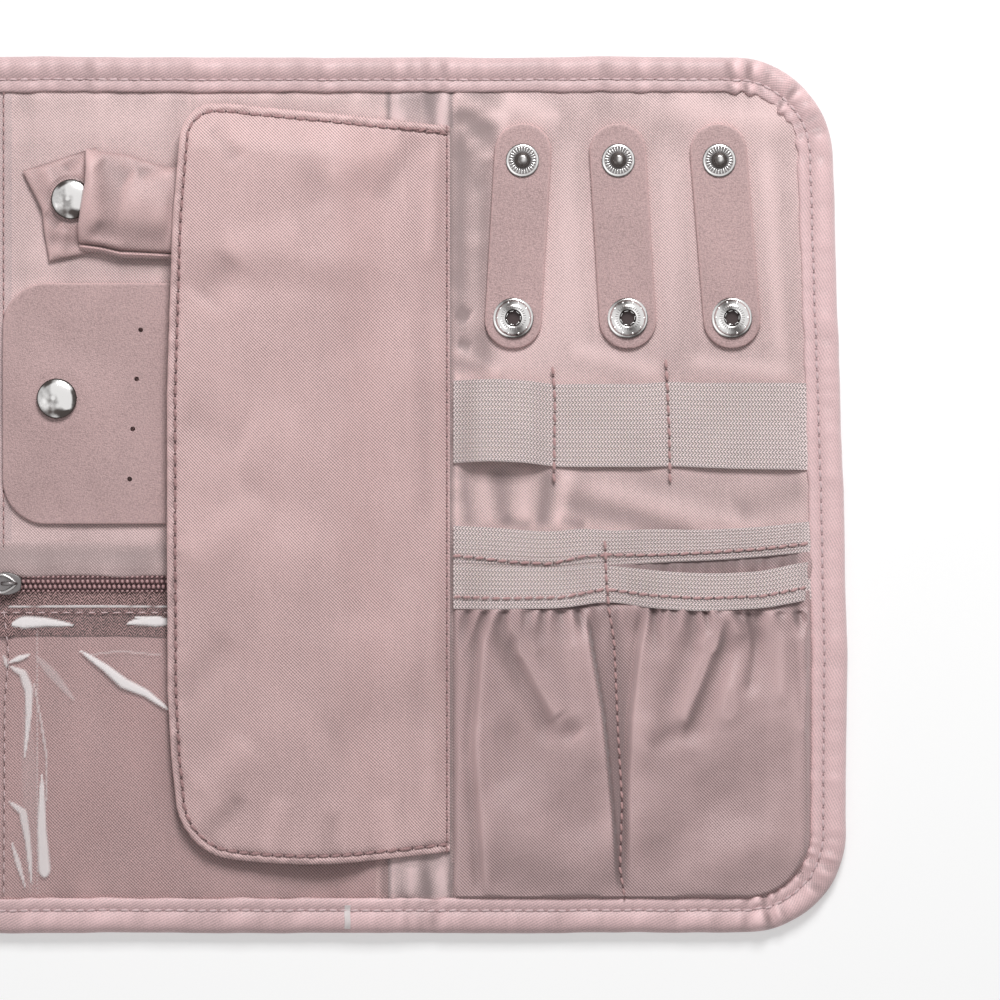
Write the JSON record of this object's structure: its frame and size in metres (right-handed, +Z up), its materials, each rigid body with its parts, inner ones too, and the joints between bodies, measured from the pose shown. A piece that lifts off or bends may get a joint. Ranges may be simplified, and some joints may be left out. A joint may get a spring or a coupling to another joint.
{
  "type": "jewelry roll",
  "caption": "Padded fabric jewelry roll that opens flat: bound panels with snap straps, elastic loops, gathered pockets, ring bar, earring card, zip pockets and a cover flap.",
  "frame": {"origin": "centre of the open roll's footprint, on the surface that it lies on", "axes": "+X along the open roll from the closing strap to the strap panel, +Y to the end of the roll where the necklace straps and the ring bar are, +Z up, out of the lining"},
  "size_m": [0.4426, 0.25, 0.0138],
  "materials": {
    "outer_cloth": "matte woven nylon, outer cover",
    "foam": "soft white foam pad and stuffing",
    "lining": "fine twill nylon with a slight sheen",
    "binding_satin": "satin-faced bias binding, topstitched",
    "flap_cloth": "twill nylon, topstitched edge",
    "pocket_satin": "soft satin, gathered",
    "leather": "smooth fine-grain leatherette",
    "elastic": "ribbed woven elastic",
    "zip_tape": "herringbone zipper tape",
    "zip_coil": "nylon coil",
    "nickel": "bright nickel plate",
    "clear_vinyl": "clear soft vinyl sheet"
  },
  "bodies": {
    "middle_panel": {"outer_cover_middle": "outer_cloth", "foam_pad_middle": "foam", "lining_middle": "lining", "binding_middle_top": "binding_satin", "binding_middle_bottom": "binding_satin", "ring_bar_stud": "nickel", "earring_card_stud": "nickel", "zipper_tape_upper": "zip_tape", "zipper_tape_lower": "zip_tape", "zipper_coil": "zip_coil", "clear_pocket_window": "clear_vinyl"},
    "right_spine": {"right_spine_cloth": "pocket_satin", "binding_right_spine_top": "binding_satin", "binding_right_spine_bottom": "binding_satin", "closing_stud": "nickel", "flap_root": "flap_cloth"},
    "right_panel": {"outer_cover_right": "outer_cloth", "foam_pad_right": "foam", "lining_right": "lining", "binding_right": "binding_satin", "strap_anchor_1": "leather", "strap_anchor_2": "leather", "strap_anchor_3": "leather", "strap_stud_1": "nickel", "strap_stud_2": "nickel", "strap_stud_3": "nickel", "wide_elastic_band": "elastic", "rear_pocket_elastic": "elastic", "rear_pocket_cloth": "pocket_satin", "front_pocket_elastic": "elastic", "front_pocket_cloth": "pocket_satin"},
    "left_spine": {"left_spine_cloth": "pocket_satin", "binding_left_spine_top": "binding_satin", "binding_left_spine_bottom": "binding_satin"},
    "left_panel": {"outer_cover_left": "outer_cloth", "foam_pad_left": "foam", "lining_left": "lining", "binding_left": "binding_satin", "left_zipper": "zip_tape", "left_pocket_window": "clear_vinyl"},
    "flap_seam": {"flap_hem": "flap_cloth"},
    "flap": {"flap_backing": "lining", "flap_front": "flap_cloth"},
    "ring_bar": {"ring_bar_sleeve": "pocket_satin", "ring_bar_core": "foam", "ring_bar_snap_cap": "nickel"},
    "earring_card": {"earring_card": "leather", "earring_card_snap_cap": "nickel"},
    "necklace_strap_1": {"strap_tongue_1": "leather", "strap_socket_1": "nickel"},
    "necklace_strap_2": {"strap_tongue_2": "leather", "strap_socket_2": "nickel"},
    "necklace_strap_3": {"strap_tongue_3": "leather", "strap_socket_3": "nickel"},
    "zipper_slider": {"zipper_slider": "nickel"},
    "zipper_pull": {"zipper_pull": "nickel"},
    "left_zipper_slider": {"left_zipper_slider": "nickel"},
    "left_zipper_pull": {"left_zipper_pull": "nickel"},
    "closing_strap": {"closing_strap": "leather", "closing_strap_socket": "nickel"}
  },
  "joints": [
    {"name": "right_spine_fold", "type": "hinge", "parent": "middle_panel", "child": "right_spine", "pos_m": [0.09172, 0, 0.005], "axis": [0, -1, 0], "range_deg": [0, 90]},
    {"name": "right_panel_fold", "type": "hinge", "parent": "right_spine", "child": "right_panel", "pos_m": [0.10992, 0, 0.005], "axis": [0, -1, 0], "range_deg": [0, 85]},
    {"name": "left_spine_fold", "type": "hinge", "parent": "middle_panel", "child": "left_spine", "pos_m": [-0.02058, 0, 0.005], "axis": [0, 1, 0], "range_deg": [0, 80]},
    {"name": "left_panel_fold", "type": "hinge", "parent": "left_spine", "child": "left_panel", "pos_m": [-0.06058, 0, 0.005], "axis": [0, 1, 0], "range_deg": [0, 100]},
    {"name": "flap_root_bend", "type": "hinge", "parent": "right_spine", "child": "flap_seam", "pos_m": [0.09972, 0, 0.0065], "axis": [0, -1, 0], "range_deg": [-86, 0]},
    {"name": "flap_open", "type": "hinge", "parent": "flap_seam", "child": "flap", "pos_m": [0.09372, 0, 0.0065], "axis": [0, -1, 0], "range_deg": [-150, 0]},
    {"name": "ring_bar_lift", "type": "hinge", "parent": "middle_panel", "child": "ring_bar", "pos_m": [0.08442, 0, 0.0047], "axis": [0, -1, 0], "range_deg": [-54, 0]},
    {"name": "earring_card_lift", "type": "hinge", "parent": "middle_panel", "child": "earring_card", "pos_m": [0.07942, 0, 0.0047], "axis": [0, -1, 0], "range_deg": [-76, 0]},
    {"name": "necklace_strap_1_fold", "type": "hinge", "parent": "right_panel", "child": "necklace_strap_1", "pos_m": [0.12868, 0.07284, 0.008], "axis": [0.9983, -0.0576, 0], "range_deg": [-180, 0]},
    {"name": "necklace_strap_2_fold", "type": "hinge", "parent": "right_panel", "child": "necklace_strap_2", "pos_m": [0.1586, 0.07284, 0.008], "axis": [0.9982, 0.0593, 0], "range_deg": [-180, 0]},
    {"name": "necklace_strap_3_fold", "type": "hinge", "parent": "right_panel", "child": "necklace_strap_3", "pos_m": [0.18781, 0.07287, 0.008], "axis": [0.9968, 0.0802, 0], "range_deg": [-180, 0]},
    {"name": "zipper_slide", "type": "slide", "parent": "middle_panel", "child": "zipper_slider", "axis": [-1, 0, 0], "range_m": [-0.086, 0]},
    {"name": "zipper_pull_flip", "type": "hinge", "parent": "zipper_slider", "child": "zipper_pull", "pos_m": [-0.01428, -0.0252, 0.0085], "axis": [0, -1, 0], "range_deg": [-160, 0]},
    {"name": "left_zipper_slide", "type": "slide", "parent": "left_panel", "child": "left_zipper_slider", "axis": [-1, 0, 0], "range_m": [-0.086, 0]},
    {"name": "left_zipper_pull_flip", "type": "hinge", "parent": "left_zipper_slider", "child": "left_zipper_pull", "pos_m": [-0.16253, 0.091, 0.0085], "axis": [0, -1, 0], "range_deg": [-160, 0]},
    {"name": "closing_strap_fold", "type": "hinge", "parent": "left_panel", "child": "closing_strap", "pos_m": [-0.18383, 0, 0.005], "axis": [0, 1, 0], "range_deg": [0, 90]}
  ],
  "couplings": [
    {"joint": "right_panel_fold", "follows": "right_spine_fold", "ratio": 0.9444},
    {"joint": "left_panel_fold", "follows": "left_spine_fold", "ratio": 1.25},
    {"joint": "flap_root_bend", "follows": "right_spine_fold", "ratio": -0.9555},
    {"joint": "ring_bar_lift", "follows": "flap_open", "ratio": 0.35},
    {"joint": "earring_card_lift", "follows": "flap_open", "ratio": 0.5}
  ]
}
